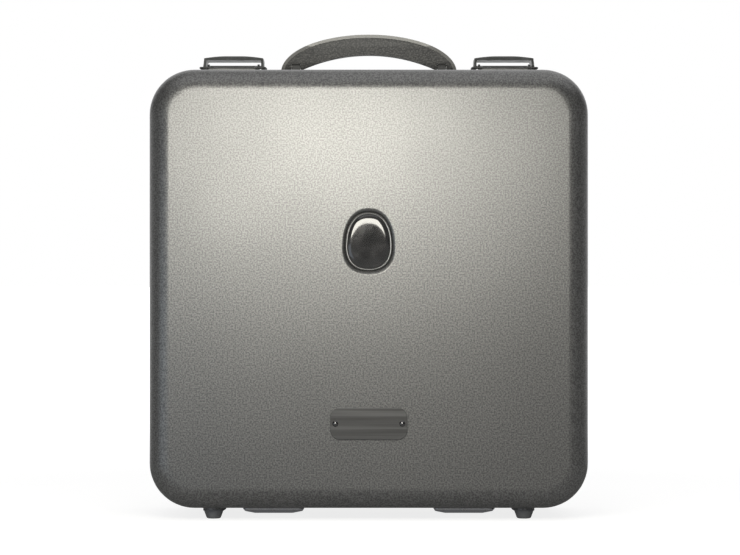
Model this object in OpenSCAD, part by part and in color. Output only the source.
// Hard moulded carrying case for headphones, standing upright on its feet.
// X runs along the case, +Y away from the lid's face, +Z up. The origin is on the floor, under
// the middle of the case. The lid swings forward and down about two hinges at its bottom edge.

/* [Shells] */
// Width of both shells at the parting line
case_w = 373; // [320:1:420]
// Height of both shells at the parting line
case_h = 373; // [320:1:420]
// Depth of the lid shell
lid_depth = 58; // [50:1:80]
// Depth of the base shell
base_depth = 92; // [84:1:120]
// Wall thickness of both shells
wall = 3; // [2.5:0.1:4]
// Radius of the four corners, seen from the front
corner_r = 39; // [32:1:55]
// Radius of the fillet round the front and back faces
edge_r = 18; // [10:1:22]
// Draft of the side walls, in degrees
draft = 1; // [0.5:0.1:1.2]

/* [Rims] */
// How far the metal rims stand out from the shell, and the hardware lands with them
rim_proud = 1; // [0.8:0.1:1.5]
// Depth of the rim's outer lip over the shell
rim_lip = 6; // [4:0.5:8]
// Thickness of the rim's web and inner leg
rim_t = 1.5; // [1.2:0.1:2]
// Depth of the rim's inner leg behind the wall
rim_leg = 11; // [8:0.5:14]
// Thickness of the tongue on the base rim
tongue_t = 2; // [1.5:0.1:2.5]
// Reach of the tongue into the lid
tongue_reach = 4; // [2:0.5:5]
// Running gap between the tongue and the lid's rim
tongue_gap = 0.2; // [0.15:0.05:0.4]
// Gap between the closed rims
parting_gap = 0.1; // [0.05:0.05:0.3]

/* [Handle] */
// Distance of the handle from the parting line
handle_y = 26; // [22:1:32]
// Span of the grip's outer arch at its seat
handle_span = 152.8; // [140:0.4:170]
// Height of the grip's outer crown above its seat
handle_h = 32.6; // [29:0.2:40]
// Depth of the grip at its crown
grip_depth = 17.2; // [14:0.2:19]
// How far half the grip's inner arch falls short of half its outer arch, at the seat
grip_inner_half = 12.9; // [11.4:0.1:18.4]
// Width of the grip's rim, front to back
grip_w = 21; // [18:0.5:24]
// How far the grip's rim stands out beyond its faces
grip_rim_step = 1.2; // [0.6:0.1:2]
// Height of the grip's rim
grip_rim_h = 2.8; // [2:0.1:4]
// Height of the handle pins above the seat
handle_pin_z = 5.5; // [5.2:0.1:7]
// Radius of the handle pins
handle_pin_r = 1.6; // [1.2:0.1:2]
// Radius of the grip's foot round its pin
grip_foot_r = 4; // [3.6:0.1:4]
// How far the handle folds to either side, in degrees
handle_fold = 70; // [60:1:70]

/* [Latches] */
// Distance of each latch's middle from the end of the handle
latch_x = 40.6; // [40:0.2:48]
// Width of the lever at its foot
lever_w = 53.2; // [50:0.2:58]
// How much narrower the lever is at its crown, on each side
lever_taper = 1.3; // [0.5:0.1:2]
// Length of the lever behind its pivot
lever_reach = 32; // [29:0.5:38]
// Height of the lever's crown above its seat
lever_h = 14; // [13:0.1:15]
// Drop of the crown from its middle to its ends
lever_crown = 2.1; // [1:0.1:3]
// Height of the open tunnel under the lever
tunnel_h = 10.2; // [7.2:0.1:10.4]
// Thickness of the lever's two cheeks
cheek_t = 2.4; // [2:0.1:3]
// Distance of the lever's pivot from the parting line
lever_pivot_y = 12; // [11.5:0.1:14]
// Height of the lever's pivot above the seat
lever_pivot_z = 3.9; // [3.9:0.05:4.2]
// Radius of the lever pin
lever_pin_r = 1.5; // [1.2:0.1:1.5]
// How far the lever opens, in degrees
lever_open = 95; // [80:1:95]
// Distance of the wire loop's hinge behind the lever's pivot
loop_offset = 8; // [7:0.1:9]
// Height of the wire loop's hinge above the seat
loop_hinge_z = 3.2; // [3:0.1:3.4]
// Radius of the loop's wire
wire_r = 0.9; // [0.8:0.05:1]
// Width of the catch on the lid
catch_w = 44; // [36:1:48]
// Height of the catch's lip above the seat
catch_h = 4.1; // [3.8:0.1:5.4]
// Thickness of the catch's lip
catch_lip_t = 1.8; // [1.4:0.1:2.2]

/* [Hinges] */
// Distance of each hinge from the middle of the case
hinge_x = 81.5; // [70:0.5:90]
// Width of a hinge leaf
hinge_w = 52; // [48:1:58]
// Length of a hinge leaf, away from the parting line
leaf_len = 23; // [22:0.5:26]
// Depth of the hinge pin below its seat
hinge_drop = 2.7; // [2.6:0.1:3.2]
// Outer radius of the hinge's knuckles
knuckle_r = 2.4; // [2.2:0.1:2.5]
// Radius of the hinge pin
hinge_pin_r = 1.25; // [1:0.05:1.4]
// Length of the hinge's barrel
barrel_w = 31; // [28:1:34]
// Width of the lid's knuckle in the middle of the barrel
lid_knuckle_w = 13.7; // [10:0.1:16]
// Thickness of the hinge's sheet
leaf_t = 1; // [0.8:0.1:1.2]

/* [Feet] */
// Distance of each foot from the side of the case
foot_x = 54.5; // [46:0.5:64]
// Distance of the lid's feet behind its face
lid_foot_inset = 28; // [27:0.5:34]
// Distance of the base's feet in front of the back face
base_foot_inset = 32; // [28:0.5:40]
// Height of a foot
foot_h = 7.8; // [7.4:0.1:14]
// Radius of a foot where it meets the shell
foot_top_r = 9; // [8:0.1:10]
// Radius of a foot where it meets the floor
foot_tip_r = 5.8; // [5.6:0.1:7]

/* [Front] */
// Height of the emblem's middle above the middle of the lid
emblem_z = 39.8; // [30:0.2:60]
// Width of the emblem's rim
emblem_w = 39; // [34:0.5:44]
// Height of the emblem's rim
emblem_h = 49; // [44:0.5:56]
// Width of the emblem's rim band
emblem_band = 1.3; // [1:0.1:2]
// Gap round the emblem in its seat
emblem_margin = 0.5; // [0.3:0.1:3]
// Depth of the emblem's seat
seat_depth = 2.4; // [1.5:0.1:2.6]
// Rise of the emblem's dome
dome_rise = 1.8; // [1:0.1:2]
// Height of the name plate's middle above the lower edge of the lid
plate_z = 73; // [60:0.5:85]
// Length of the name plate
plate_w = 65; // [55:1:75]
// Height of the name plate
plate_h = 27; // [22:0.5:30]
// Corner radius of the name plate
plate_corner_r = 8; // [5:0.5:10]
// Thickness of the name plate
plate_t = 1.2; // [1:0.1:1.4]

/* [Fasteners] */
// Thickness of the sheet of the latch, catch and handle plates
sheet_t = 1.2; // [1:0.1:1.2]
// Radius of the rivets' shanks
rivet_r = 1.5; // [1.2:0.1:1.8]
// Radius of the rivets' heads
rivet_head_r = 2.5; // [2.3:0.1:2.7]
// Height of the rivets' heads
rivet_head_h = 1.4; // [1.2:0.1:1.4]
// Thickness of the rivets' formed tails
rivet_tail_h = 1.2; // [0.8:0.1:1.3]

/* [Foam] */
// Gap between the foam's sides and the inside of the wall, for the rivets' tails
foam_side_gap = 2.2; // [2.2:0.1:4]
// Gap between the foam and the face that it lies on
foam_floor_gap = 0.4; // [0.3:0.1:1]
// Thickness of the lid's foam pad
pad_t = 21.6; // [16:0.2:24]
// Width of each ear cup's well
cup_w = 72; // [60:1:74]
// Height of each ear cup's well
cup_h = 112; // [100:1:120]
// Depth of each ear cup's well
cup_depth = 72; // [60:1:74]
// Distance of each ear cup's well from the middle of the case
cup_x = 58; // [56:1:66]
// Distance of the wells' middle below the middle of the case
cup_drop = 38; // [30:1:44]
// Radius of the headband channel's middle line
band_r = 68; // [62:1:74]
// Width of the headband channel
band_w = 40; // [34:1:44]
// Depth of the headband channel
band_depth = 52; // [40:1:60]
// Length of the cable tray
tray_w = 220; // [160:5:240]
// Height of the cable tray
tray_h = 44; // [36:1:46]
// Depth of the cable tray
tray_depth = 48; // [30:1:60]
// Distance of the cable tray's middle below the middle of the case
tray_drop = 140; // [132:1:144]
// Depth of the recess in the lid's pad over the headphones
pad_recess = 9; // [4:0.5:12]

/* [Hidden] */
$fn = 96;

shell_tint = [0.33, 0.33, 0.33];
metal_tint = [0.72, 0.72, 0.74];
nickel_tint = [0.8, 0.79, 0.77];
latch_tint = [0.3, 0.3, 0.3];
rubber_tint = [0.12, 0.12, 0.13];
foam_tint = [0.08, 0.08, 0.09];

// Clearances between pieces that are fitted once, and round pins that turn
fit = 0.05;
side_gap = 0.3;
slip = 0.01;

half_h = case_h / 2;
front_proud = plate_t + rivet_head_h;
part_y = (lid_depth + front_proud - base_depth) / 2;
body_z = foot_h + rim_proud + half_h;
seat_z = half_h + rim_proud;

// Places in the rim's section, counted inward from the outer face of the wall
leg_u = wall + rim_leg * tan(draft) + 0.1;
tongue_u = leg_u + rim_t + tongue_gap;
wall_start = rim_t + 0.1;
land_start = rim_lip + side_gap;
land_margin = 1.5;

// The emblem's seat is an even margin wider than its rim
emblem_seat_w = emblem_w + 2 * emblem_margin;
emblem_seat_h = emblem_h + 2 * emblem_margin;
plate_pin_x = plate_w / 2 - 4.3;
plate_pin_hole = 2.4;
plate_drop = half_h - plate_z;

// The grip's outer arch is half an ellipse over its seat, its inner arch a circle
grip_inner_rise = handle_h - grip_depth;
grip_inner_reach = handle_span / 2 - grip_inner_half;
grip_inner_r = (pow(grip_inner_reach, 2) + pow(grip_inner_rise, 2)) / 2 / grip_inner_rise;
grip_inner_z = handle_h - grip_depth - grip_inner_r;
foot_lean = 90 - handle_fold;
foot_start = handle_pin_z - grip_foot_r * sin(foot_lean);
foot_side = grip_foot_r * cos(foot_lean);
foot_shoulder = foot_start + (grip_w / 2 - foot_side) / tan(foot_lean);
ear_x = handle_span / 2 - 13;
ear_w = 7.4;
ear_r = 3.4;
ear_slot_r = norm([ear_r, grip_foot_r]) + side_gap;
bracket_from = ear_x - 25;
bracket_to = handle_span / 2 + 10.1;
bracket_w = 18;
latch_at = handle_span / 2 + latch_x;
bracket_rivets = [[ear_x - 20, 0], [bracket_to - 4.5, -5], [bracket_to - 4.5, 5]];

// The latch: the wire loop runs from its hinge in the lever to the catch's lip on the lid
eye_r = lever_pivot_z - 0.5;
lever_ear_r = 2.6;
plate_ear_x = lever_w / 2 - cheek_t - 2.6;
lever_plate_from = 1.5;
lever_plate_to = lever_pivot_y + lever_reach - 2;
lever_rivets = [[-12, lever_pivot_y + 10], [12, lever_pivot_y + 10],
    [-12, lever_pivot_y + 24], [12, lever_pivot_y + 24]];
loop_bend_r = 1.2;
loop_corner_r = 3;
loop_leg_x = lever_w / 2 + 0.1 + loop_bend_r;
catch_lip_y = 2.6;
loop_bar_y = -(catch_lip_y + catch_lip_t + 0.1 + wire_r);
loop_bar_z = sheet_t + 0.2 + wire_r;
loop_hinge_y = lever_pivot_y + loop_offset;
loop_len = norm([loop_hinge_y - loop_bar_y, loop_hinge_z - loop_bar_z]);
loop_tilt = atan2(loop_hinge_z - loop_bar_z, loop_hinge_y - loop_bar_y);
catch_len = 20;
catch_rivets = [[-14, 14], [14, 14]];

// The hinge leaf is pressed into a hump that ends level with the barrel
hump_h = hinge_drop + knuckle_r;
leaf_rivets = [[-18, leaf_len - 4.5], [0, leaf_len - 4.5], [18, leaf_len - 4.5]];

foot_at = case_w / 2 - foot_x;
lid_foot_y = lid_depth - lid_foot_inset;
base_foot_y = base_depth - base_foot_inset;
foot_bore_r = 3.3;
foot_head_z = 4.8;
foot_rivet_r = 2;

pad_from = lid_depth - wall - foam_floor_gap - pad_t;
foam_u = wall + foam_side_gap;
foam_top = rim_t + 0.7;

// A closed outline through corners [x, y, radius], each rounded by its own arc
function corner_arc(a, p, b, r, n) =
    let (u = (a - p) / norm(a - p), v = (b - p) / norm(b - p), half = acos(u * v) / 2,
        c = p + (u + v) / norm(u + v) * r / sin(half),
        s = p + u * r / tan(half) - c, e = p + v * r / tan(half) - c,
        from = atan2(s.y, s.x), turn = atan2(s.x * e.y - s.y * e.x, s * e))
    [for (i = [0:n]) c + r * [cos(from + turn * i / n), sin(from + turn * i / n)]];
function rounded(pts, n = 8) = [for (i = [0:len(pts) - 1])
    let (k = len(pts), a = pts[(i + k - 1) % k], p = pts[i], b = pts[(i + 1) % k])
    each (p[2] == 0 ? [[p.x, p.y]]
        : corner_arc([a.x, a.y], [p.x, p.y], [b.x, b.y], p[2], n))];

// An egg, broad below: a superellipse whose width shrinks towards the top
egg_power = 2.35;
egg_lean = 0.09;
function bend(t) = sign(t) * pow(abs(t), 2 / egg_power);
function egg(w, h, n = 72) = [for (i = [0:n - 1]) let (a = 360 * i / n)
    [w / 2 * bend(cos(a)) * (1 - egg_lean * bend(sin(a))), h / 2 * bend(sin(a))]];

module rounded_square(w, h, r) {
    square([w - 2 * r, h], center = true);
    square([w, h - 2 * r], center = true);
    for (x = [-1, 1], y = [-1, 1]) translate([x * (w / 2 - r), y * (h / 2 - r)]) circle(r);
}

// The outline of the case, moved inward by u
module case_outline(u) rounded_square(case_w - 2 * u, case_h - 2 * u, corner_r - u);

module case_ring(u_out, u_in, from, to) {
    translate([0, 0, from]) linear_extrude(to - from) difference() {
        case_outline(u_out);
        case_outline(u_in);
    }
}

// Section of a drafted wall that turns into a face of the given depth through a fillet
module wall_section(r, depth, fillet) {
    z = depth - fillet;
    x = r - z * tan(draft) - fillet / cos(draft);
    polygon([[0, 0], [r, 0], [x + fillet * cos(draft), z + fillet * sin(draft)],
        [x, z], [x, depth], [0, depth]]);
    intersection() {
        translate([x, z]) circle(fillet);
        translate([x, z]) square(fillet);
    }
}

// A solid tray on the case's outline: drafted sides, rounded corners and a filleted face
module tray(u, depth, fillet) {
    r = corner_r - u;
    cx = case_w / 2 - corner_r;
    cy = case_h / 2 - corner_r;
    for (s = [0:3]) rotate([0, 0, 90 * s]) {
        across = s % 2 == 0 ? cx : cy;
        along = s % 2 == 0 ? cy : cx;
        translate([across, 0, 0]) rotate([90, 0, 0])
            linear_extrude(2 * along, center = true) wall_section(r, depth, fillet);
        translate([across, along, 0]) rotate_extrude(angle = 90) wall_section(r, depth, fillet);
    }
    translate([-cx, -cy, 0]) cube([2 * cx, 2 * cy, depth]);
}

// In each shell's own frame X and Y lie in the face and Z runs from the parting line outward
module in_lid() translate([0, part_y, body_z]) rotate([90, 0, 0]) children();
module in_base() translate([0, part_y, body_z]) mirror([0, 1, 0]) rotate([90, 0, 0]) children();

// On the hardware's seat Y runs away from the parting line and Z out of the case
module on_edge(x, lid = false, below = false) {
    translate([x, part_y, body_z]) mirror([0, lid ? 1 : 0, 0]) mirror([0, 0, below ? 1 : 0])
        translate([0, 0, seat_z]) children();
}

// A flat land moulded on the shell under a piece of hardware
module land(x, from, to, width, r = 5) {
    deep = rim_proud + wall / 2 + to * tan(draft);
    translate([x, (from + to) / 2, -deep]) linear_extrude(deep)
        rounded_square(width, to - from, r);
}

// Depth below the seat at which the inside of the wall is reached, y from the parting line
function inside(y) = rim_proud + wall + (y + rivet_head_r) * tan(draft) + 0.02;

// A rivet through a sheet of thickness t: domed head, shank, and the tail formed inside the wall
module rivet(p, t, r = rivet_r, head_r = rivet_head_r) {
    dome_r = (pow(head_r, 2) + pow(rivet_head_h, 2)) / 2 / rivet_head_h;
    translate([p.x, p.y, 0]) {
        intersection() {
            translate([0, 0, t + rivet_head_h - dome_r]) sphere(dome_r);
            translate([0, 0, t]) cylinder(r = head_r + 1, h = rivet_head_h + 1);
        }
        translate([0, 0, -inside(p.y)]) cylinder(r = r, h = inside(p.y) + t);
        translate([0, 0, -inside(p.y) - rivet_tail_h]) cylinder(r = r + 0.8, h = rivet_tail_h);
    }
}

module rivet_holes(points, r = rivet_r, depth = 12) {
    for (p = points) translate([p.x, p.y, -depth]) cylinder(r = r + fit, h = 2 * depth);
}

// Everything that is let into the shells' rims: lands under the hardware and rivet holes
module top_base_lands() {
    for (s = [-1, 1]) {
        land(s * latch_at, land_start, lever_plate_to + land_margin, lever_w + 2 * land_margin);
        land(s * (bracket_from + bracket_to) / 2, handle_y - bracket_w / 2 - land_margin,
            handle_y + bracket_w / 2 + land_margin, bracket_to - bracket_from + 2 * land_margin);
    }
}

module top_lid_lands() {
    for (s = [-1, 1])
        land(s * latch_at, land_start, catch_len + land_margin, catch_w + 2 * land_margin);
}

module bottom_lands(foot_y) {
    deep = rim_proud + wall / 2 + foot_y * tan(draft);
    for (s = [-1, 1]) {
        land(s * hinge_x, land_start, leaf_len + land_margin, hinge_w + 0.2);
        translate([s * foot_at, foot_y, -deep]) cylinder(r = foot_top_r, h = deep);
    }
}

module bottom_holes(foot_y) {
    for (s = [-1, 1]) {
        translate([s * hinge_x, 0, 0]) rivet_holes(leaf_rivets);
        rivet_holes([[s * foot_at, foot_y]], foot_rivet_r);
    }
}

module hollow_tray(depth) {
    difference() {
        tray(0, depth, edge_r);
        translate([0, 0, -1]) linear_extrude(wall_start + 1) case_outline(-5);
    }
}

module base_shell() {
    color(shell_tint) difference() {
        union() {
            in_base() hollow_tray(base_depth);
            on_edge(0) top_base_lands();
            on_edge(0, below = true) bottom_lands(base_foot_y);
        }
        in_base() tray(wall, base_depth - wall, edge_r - wall);
        on_edge(0) for (s = [-1, 1]) {
            translate([s * latch_at, 0, 0]) rivet_holes(lever_rivets);
            rivet_holes([for (p = bracket_rivets) [s * p.x, handle_y + p.y]]);
        }
        on_edge(0, below = true) bottom_holes(base_foot_y);
    }
}

module lid_shell() {
    color(shell_tint) difference() {
        union() {
            difference() {
                union() {
                    in_lid() hollow_tray(lid_depth);
                    on_edge(0, lid = true) top_lid_lands();
                    on_edge(0, lid = true, below = true) bottom_lands(lid_foot_y);
                }
                in_lid() tray(wall, lid_depth - wall, edge_r - wall);
            }
            in_lid() translate([0, emblem_z, lid_depth - wall - seat_depth])
                linear_extrude(wall) polygon(egg(emblem_seat_w + 2 * wall, emblem_seat_h + 2 * wall));
        }
        in_lid() translate([0, emblem_z, lid_depth - seat_depth])
            linear_extrude(wall) polygon(egg(emblem_seat_w, emblem_seat_h));
        in_lid() for (s = [-1, 1]) translate([s * plate_pin_x, -plate_drop, lid_depth - plate_pin_hole])
            cylinder(r = rivet_r + fit, h = wall);
        on_edge(0, lid = true) for (s = [-1, 1]) translate([s * latch_at, 0, 0])
            rivet_holes(catch_rivets);
        on_edge(0, lid = true, below = true) bottom_holes(lid_foot_y);
    }
}

// The channel that each rim closes round the edge of its wall
module rim_channel(web_to) {
    case_ring(-rim_proud, -fit, parting_gap / 2, rim_lip);
    case_ring(-rim_proud, web_to, parting_gap / 2, rim_t);
    case_ring(leg_u, leg_u + rim_t, parting_gap / 2, rim_leg);
}

module base_rim() {
    color(metal_tint) in_base() {
        rim_channel(tongue_u + tongue_t);
        case_ring(tongue_u, tongue_u + tongue_t, -tongue_reach, rim_t);
    }
}

module lid_rim() color(metal_tint) in_lid() rim_channel(leg_u + rim_t);

// The outline that the headphones take up: two ear cups and the headband over them
module cups_outline(grow = 0) {
    for (s = [-1, 1]) translate([s * cup_x, -cup_drop])
        rounded_square(cup_w + 2 * grow, cup_h + 2 * grow, cup_w / 2 - 2);
}

module band_outline() {
    intersection() {
        difference() {
            circle(band_r + band_w / 2);
            circle(band_r - band_w / 2);
        }
        translate([-case_w / 2, 0]) square([case_w, case_w]);
    }
}

module base_foam() {
    color(foam_tint) in_base() difference() {
        tray(foam_u, base_depth - wall - foam_floor_gap, edge_r - wall);
        translate([0, 0, -1]) linear_extrude(foam_top + 1) case_outline(0);
        translate([0, 0, foam_top - 1]) linear_extrude(cup_depth + 1) cups_outline();
        translate([0, 0, foam_top - 1]) linear_extrude(band_depth + 1) band_outline();
        translate([0, -tray_drop, foam_top - 1]) linear_extrude(tray_depth + 1)
            rounded_square(tray_w, tray_h, 14);
    }
}

module lid_foam() {
    color(foam_tint) in_lid() difference() {
        tray(foam_u, lid_depth - wall - foam_floor_gap, edge_r - wall);
        translate([0, 0, -1]) linear_extrude(pad_from + 1) case_outline(0);
        translate([0, 0, pad_from - 1]) linear_extrude(pad_recess + 1) {
            cups_outline();
            band_outline();
        }
        translate([0, emblem_z, pad_from + pad_t - seat_depth - foam_floor_gap])
            linear_extrude(wall + seat_depth) polygon(egg(emblem_seat_w + 4 * wall,
                emblem_seat_h + 4 * wall));
    }
}

// A rubber foot: a blunt cone under a low collar, bored from below for its rivet
module foot(s, lid) {
    y = lid ? lid_foot_y : base_foot_y;
    color(rubber_tint) on_edge(s * foot_at, lid, true) translate([0, y, 0]) difference() {
        rotate_extrude() polygon(rounded([[0, 0, 0], [foot_top_r, 0, 0], [foot_top_r, 1.2, 0.4],
            [foot_top_r - 0.7, 1.2, 0.15], [foot_tip_r, foot_h, 1.8], [0, foot_h, 0]]));
        translate([0, 0, foot_head_z]) cylinder(r = foot_bore_r, h = foot_h);
        translate([0, 0, -1]) cylinder(r = foot_rivet_r + fit, h = foot_h);
    }
}

module foot_rivets(lid) {
    color(nickel_tint) on_edge(0, lid, true) for (s = [-1, 1])
        rivet([s * foot_at, lid ? lid_foot_y : base_foot_y], foot_head_z, foot_rivet_r,
            foot_bore_r - 0.3);
}

// The pressed hump of a hinge leaf, its outline drawn in by t
module hump(t) {
    top = hump_h - t;
    bottom_x = hinge_w / 2 - 0.2 - 2 * t;
    intersection() {
        translate([0, leaf_len, 0]) rotate([90, 0, 0]) linear_extrude(leaf_len)
            polygon(rounded([[-bottom_x, -t, 0], [bottom_x, -t, 0],
                [bottom_x - 0.6, 0.6 * hump_h - t, 2.2], [barrel_w / 2 - t / 2, top, 8],
                [t / 2 - barrel_w / 2, top, 8], [0.6 - bottom_x, 0.6 * hump_h - t, 2.2]]));
        rotate([90, 0, 90]) linear_extrude(hinge_w, center = true)
            polygon(rounded([[knuckle_r + 0.2 + t, -t, 0], [knuckle_r + 0.2 + t, hinge_drop, 0.5],
                [knuckle_r + 4.1 + t, top - 0.2, 1], [knuckle_r + 6.6, top, 2],
                [leaf_len - 8 - t, -t, 0]]));
    }
}

module knuckle(from, to) {
    translate([from, 0, hinge_drop]) rotate([0, 90, 0]) cylinder(r = knuckle_r, h = to - from);
}

// Where the knuckles of each leaf lie along the barrel
lid_knuckles = [[-lid_knuckle_w / 2, lid_knuckle_w / 2]];
base_knuckles = [[-barrel_w / 2, -lid_knuckle_w / 2 - side_gap],
    [lid_knuckle_w / 2 + side_gap, barrel_w / 2]];

module hinge_leaf(s, lid) {
    own = lid ? lid_knuckles : base_knuckles;
    other = lid ? base_knuckles : lid_knuckles;
    color(nickel_tint) on_edge(s * hinge_x, lid, true) difference() {
        union() {
            difference() {
                union() {
                    translate([-hinge_w / 2, side_gap, 0]) cube([hinge_w, 6, leaf_t]);
                    translate([0, leaf_len / 2 + 1, 0]) linear_extrude(leaf_t)
                        rounded_square(hinge_w, leaf_len - 2, 4);
                    hump(0);
                }
                hump(leaf_t);
            }
            for (k = own) knuckle(k[0], k[1]);
        }
        for (k = other) translate([k[0] - side_gap, 0, hinge_drop]) rotate([0, 90, 0])
            cylinder(r = knuckle_r + side_gap, h = k[1] - k[0] + 2 * side_gap);
        translate([0, 0, hinge_drop]) rotate([0, 90, 0])
            cylinder(r = hinge_pin_r + fit, h = hinge_w, center = true);
        rivet_holes(leaf_rivets);
    }
}

module hinge_pin(s) {
    color(metal_tint) on_edge(s * hinge_x, below = true) translate([0, 0, hinge_drop])
        rotate([0, 90, 0]) {
            cylinder(r = hinge_pin_r, h = barrel_w + 1, center = true);
            for (e = [-1, 1]) translate([0, 0, e * (barrel_w / 2 + 0.5)])
                cylinder(r = hinge_pin_r + 0.5, h = 0.8, center = true);
        }
}

module hinge_rivets(lid) {
    color(nickel_tint) on_edge(0, lid, true) for (s = [-1, 1], p = leaf_rivets)
        rivet([s * hinge_x + p.x, p.y], leaf_t);
}

// The fixed half of a latch: a plate on the base with two ears that carry the lever's pin
module latch_base_plate(s) {
    color(metal_tint) on_edge(s * latch_at) difference() {
        union() {
            translate([0, (lever_plate_from + lever_plate_to) / 2, 0]) linear_extrude(sheet_t)
                rounded_square(2 * plate_ear_x + 3.6, lever_plate_to - lever_plate_from, 3);
            for (e = [-1, 1]) translate([e * plate_ear_x, lever_pivot_y, 0]) rotate([90, 0, 90]) {
                linear_extrude(1.8, center = true) {
                    translate([0, lever_pivot_z]) circle(lever_ear_r);
                    translate([-lever_ear_r, 0]) square([2 * lever_ear_r, lever_pivot_z]);
                }
            }
        }
        translate([0, lever_pivot_y, lever_pivot_z]) rotate([0, 90, 0])
            cylinder(r = lever_pin_r + fit, h = lever_w, center = true);
        rivet_holes(lever_rivets);
    }
}

// The lever seen from the front: a bridge with a crowned top and an open tunnel below
module lever_front() {
    foot = lever_w / 2;
    top = foot - lever_taper;
    crown_r = (pow(top, 2) + pow(lever_crown, 2)) / 2 / lever_crown;
    difference() {
        intersection() {
            polygon([[-foot, 0], [foot, 0], [top, lever_h], [-top, lever_h]]);
            translate([0, lever_h - crown_r]) circle(crown_r, $fn = 360);
        }
        polygon(rounded([[cheek_t - foot, -1, 0], [foot - cheek_t, -1, 0],
            [foot - cheek_t - 0.6, tunnel_h, 1.2], [cheek_t + 0.6 - foot, tunnel_h, 1.2]]));
    }
}

// The lever seen from the side: a round eye at the pin, a sloping back and a lifting lip
module lever_side() {
    rise = lever_h - lever_pivot_z;
    translate([lever_pivot_y, lever_pivot_z]) {
        circle(eye_r);
        polygon(rounded([[0.5, 0.3 - eye_r, 0], [lever_reach - 10, 1.6 - eye_r, 2.5],
            [lever_reach - 7, rise - 6.2, 3], [lever_reach, rise - 4, 1],
            [lever_reach - 0.6, rise - 1.4, 1.1], [lever_reach - 7, rise - 2.2, 12],
            [0.6, rise, 2.5], [-1.7, 2.5, 0], [-1.8, -1, 0]]));
    }
}

module latch_lever(s) {
    color(latch_tint) on_edge(s * latch_at) difference() {
        intersection() {
            translate([0, lever_pivot_y + lever_reach + 1, 0]) rotate([90, 0, 0])
                linear_extrude(lever_reach + 8) lever_front();
            rotate([90, 0, 90]) linear_extrude(lever_w + 2, center = true) lever_side();
        }
        translate([0, lever_pivot_y, lever_pivot_z]) rotate([0, 90, 0])
            cylinder(r = lever_pin_r + fit, h = lever_w + 2, center = true);
        translate([0, loop_hinge_y, loop_hinge_z]) rotate([0, 90, 0])
            cylinder(r = wire_r + fit, h = lever_w + 2, center = true);
    }
}

module latch_lever_pin(s) {
    color(metal_tint) on_edge(s * latch_at) translate([0, lever_pivot_y, lever_pivot_z])
        rotate([0, 90, 0]) cylinder(r = lever_pin_r, h = lever_w - 1.2, center = true);
}

// The wire loop: two legs outside the lever's cheeks, a bar behind the catch's lip, and two
// ends bent into the cheeks
module latch_wire_loop(s) {
    color(nickel_tint) on_edge(s * latch_at) translate([0, loop_hinge_y, loop_hinge_z])
        rotate([loop_tilt, 0, 0]) {
            for (e = [0, 1]) mirror([e, 0, 0]) {
                translate([loop_leg_x, -loop_bend_r, 0]) rotate([90, 0, 0])
                    cylinder(r = wire_r, h = loop_len - loop_bend_r - loop_corner_r);
                translate([loop_leg_x - loop_bend_r, -loop_bend_r, 0])
                    rotate_extrude(angle = 90) translate([loop_bend_r, 0]) circle(wire_r, $fn = 32);
                translate([loop_leg_x - loop_bend_r - cheek_t - 0.6, 0, 0]) rotate([0, 90, 0])
                    cylinder(r = wire_r, h = cheek_t + 0.6);
                translate([loop_leg_x - loop_corner_r, loop_corner_r - loop_len, 0])
                    rotate([0, 0, -90]) rotate_extrude(angle = 90) translate([loop_corner_r, 0])
                        circle(wire_r, $fn = 32);
            }
            translate([0, -loop_len, 0]) rotate([0, 90, 0])
                cylinder(r = wire_r, h = 2 * (loop_leg_x - loop_corner_r), center = true);
        }
}

// The catch: a sheet on the lid with a lip that the wire loop draws against
module latch_catch(s) {
    color(metal_tint) on_edge(s * latch_at, lid = true) difference() {
        union() {
            translate([0, (catch_len + 1.2) / 2, 0]) linear_extrude(sheet_t)
                rounded_square(catch_w, catch_len - 1.2, 3);
            rotate([90, 0, 90]) linear_extrude(catch_w - 6, center = true)
                polygon(rounded([[catch_lip_y, 0, 0], [catch_lip_y + catch_lip_t, 0, 0],
                    [catch_lip_y + catch_lip_t, catch_h, 0.7], [catch_lip_y, catch_h, 0.7]]));
        }
        rivet_holes(catch_rivets);
    }
}

module latch_base_rivets() {
    color(nickel_tint) on_edge(0) for (s = [-1, 1], p = lever_rivets)
        rivet([s * latch_at + p.x, p.y], sheet_t);
}

module latch_catch_rivets() {
    color(nickel_tint) on_edge(0, lid = true) for (s = [-1, 1], p = catch_rivets)
        rivet([s * latch_at + p.x, p.y], sheet_t);
}

// The ellipse of the grip's outer arch, drawn in by t
module grip_prism(t, width) {
    rotate([90, 0, 0]) linear_extrude(width, center = true)
        scale([handle_span / 2 - t, handle_h - t]) circle(1);
}

// The grip's outline from the end: a round foot that widens upward, so that it can fold
module grip_end_view() {
    translate([0, handle_pin_z]) circle(grip_foot_r);
    polygon([[foot_side, foot_start], [grip_w / 2 + slip, foot_shoulder],
        [grip_w / 2 + slip, handle_h + 5], [-grip_w / 2 - slip, handle_h + 5],
        [-grip_w / 2 - slip, foot_shoulder], [-foot_side, foot_start]]);
}

// What is taken off one face of the grip, so that its rim stands out
module grip_face_cut() {
    face = grip_w / 2 - grip_rim_step;
    polygon([[foot_side + 1, foot_start + 2], [grip_w, foot_start + 2], [grip_w, handle_h + 6],
        [face, handle_h + 6], [face, foot_shoulder]]);
}

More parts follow.
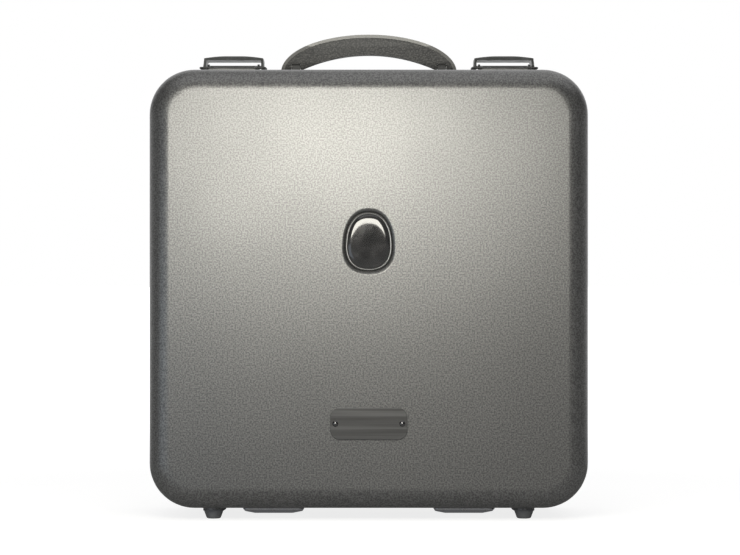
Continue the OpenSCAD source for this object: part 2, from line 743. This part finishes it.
module handle_grip() {
    color(latch_tint) on_edge(0) translate([0, handle_y, 0]) difference() {
        intersection() {
            grip_prism(0, grip_w);
            rotate([90, 0, 90]) linear_extrude(handle_span + 4, center = true) grip_end_view();
        }
        for (m = [0, 1]) mirror([0, m, 0]) intersection() {
            grip_prism(grip_rim_h, grip_w + 4);
            rotate([90, 0, 90]) linear_extrude(handle_span + 6, center = true) grip_face_cut();
        }
        translate([0, 0, grip_inner_z]) rotate([90, 0, 0])
            cylinder(r = grip_inner_r, h = grip_w + 6, center = true);
        for (s = [-1, 1]) {
            translate([s * ear_x, 0, handle_pin_z]) rotate([0, 90, 0])
                cylinder(r = ear_slot_r, h = ear_w + 2 * side_gap, center = true);
            translate([s * (ear_x - 6.6), 0, handle_pin_z]) rotate([0, 90, 0])
                cylinder(r = handle_pin_r + fit, h = 27, center = true);
        }
    }
}

module handle_bracket(s) {
    color(metal_tint) on_edge(0) translate([0, handle_y, 0]) difference() {
        union() {
            translate([s * (bracket_from + bracket_to) / 2, 0, 0]) linear_extrude(sheet_t)
                rounded_square(bracket_to - bracket_from, bracket_w, 5);
            translate([s * ear_x, 0, 0]) rotate([90, 0, 90]) linear_extrude(ear_w, center = true) {
                translate([0, handle_pin_z]) circle(ear_r);
                translate([-ear_r, 0]) square([2 * ear_r, handle_pin_z]);
            }
        }
        translate([s * ear_x, 0, handle_pin_z]) rotate([0, 90, 0])
            cylinder(r = handle_pin_r + fit, h = 2 * ear_w, center = true);
        rivet_holes([for (p = bracket_rivets) [s * p.x, p.y]]);
    }
}

module handle_pin(s) {
    color(metal_tint) on_edge(0) translate([s * (ear_x - 0.6), handle_y, handle_pin_z])
        rotate([0, 90, 0]) cylinder(r = handle_pin_r, h = 14, center = true);
}

module handle_rivets() {
    color(nickel_tint) on_edge(0) for (s = [-1, 1], p = bracket_rivets)
        rivet([s * p.x, handle_y + p.y], sheet_t);
}

module emblem_rim() {
    color(nickel_tint) in_lid() translate([0, emblem_z, lid_depth - seat_depth])
        linear_extrude(seat_depth + 0.3) difference() {
            polygon(egg(emblem_w, emblem_h));
            polygon(egg(emblem_w - 2 * emblem_band, emblem_h - 2 * emblem_band));
        }
}

module emblem_dome() {
    w = emblem_w - 2 * emblem_band - 2 * fit;
    h = emblem_h - 2 * emblem_band - 2 * fit;
    dome_r = (pow(h / 2, 2) + pow(dome_rise, 2)) / 2 / dome_rise;
    color([0.08, 0.08, 0.08]) in_lid() translate([0, emblem_z, lid_depth - seat_depth])
        intersection() {
            linear_extrude(10) polygon(egg(w, h));
            translate([0, 0, seat_depth - 0.6 + dome_rise - dome_r]) sphere(dome_r, $fn = 180);
        }
}

module name_plate() {
    color([0.3, 0.29, 0.28]) in_lid() translate([0, -plate_drop, lid_depth]) difference() {
        linear_extrude(plate_t) rounded_square(plate_w, plate_h, plate_corner_r);
        for (s = [-1, 1]) translate([s * plate_pin_x, 0, -1]) cylinder(r = rivet_r + fit, h = 4);
    }
}

module name_plate_pins() {
    dome_r = (pow(rivet_head_r, 2) + pow(rivet_head_h, 2)) / 2 / rivet_head_h;
    color(nickel_tint) in_lid() for (s = [-1, 1])
        translate([s * plate_pin_x, -plate_drop, lid_depth]) {
            intersection() {
                translate([0, 0, plate_t + rivet_head_h - dome_r]) sphere(dome_r);
                translate([0, 0, plate_t]) cylinder(r = rivet_head_r + 1, h = rivet_head_h + 1);
            }
            translate([0, 0, 0.1 - plate_pin_hole]) cylinder(r = rivet_r, h = plate_pin_hole + plate_t);
        }
}

base_shell();
lid_shell();
base_rim();
lid_rim();
base_foam();
lid_foam();
foot(-1, false);  // base_foot_left
foot(1, false);  // base_foot_right
foot(-1, true);  // lid_foot_left
foot(1, true);  // lid_foot_right
foot_rivets(false);  // base_foot_rivets
foot_rivets(true);  // lid_foot_rivets
hinge_leaf(-1, false);  // hinge_left_base_leaf
hinge_leaf(-1, true);  // hinge_left_lid_leaf
hinge_pin(-1);  // hinge_left_pin
hinge_leaf(1, false);  // hinge_right_base_leaf
hinge_leaf(1, true);  // hinge_right_lid_leaf
hinge_pin(1);  // hinge_right_pin
hinge_rivets(false);  // hinge_base_rivets
hinge_rivets(true);  // hinge_lid_rivets
latch_base_plate(-1);  // latch_left_base_plate
latch_lever(-1);  // latch_left_lever
latch_lever_pin(-1);  // latch_left_lever_pin
latch_wire_loop(-1);  // latch_left_wire_loop
latch_catch(-1);  // latch_left_catch
latch_base_plate(1);  // latch_right_base_plate
latch_lever(1);  // latch_right_lever
latch_lever_pin(1);  // latch_right_lever_pin
latch_wire_loop(1);  // latch_right_wire_loop
latch_catch(1);  // latch_right_catch
latch_base_rivets();
latch_catch_rivets();
handle_grip();
handle_bracket(-1);  // handle_bracket_left
handle_bracket(1);  // handle_bracket_right
handle_pin(-1);  // handle_pin_left
handle_pin(1);  // handle_pin_right
handle_rivets();
emblem_rim();
emblem_dome();
name_plate();
name_plate_pins();
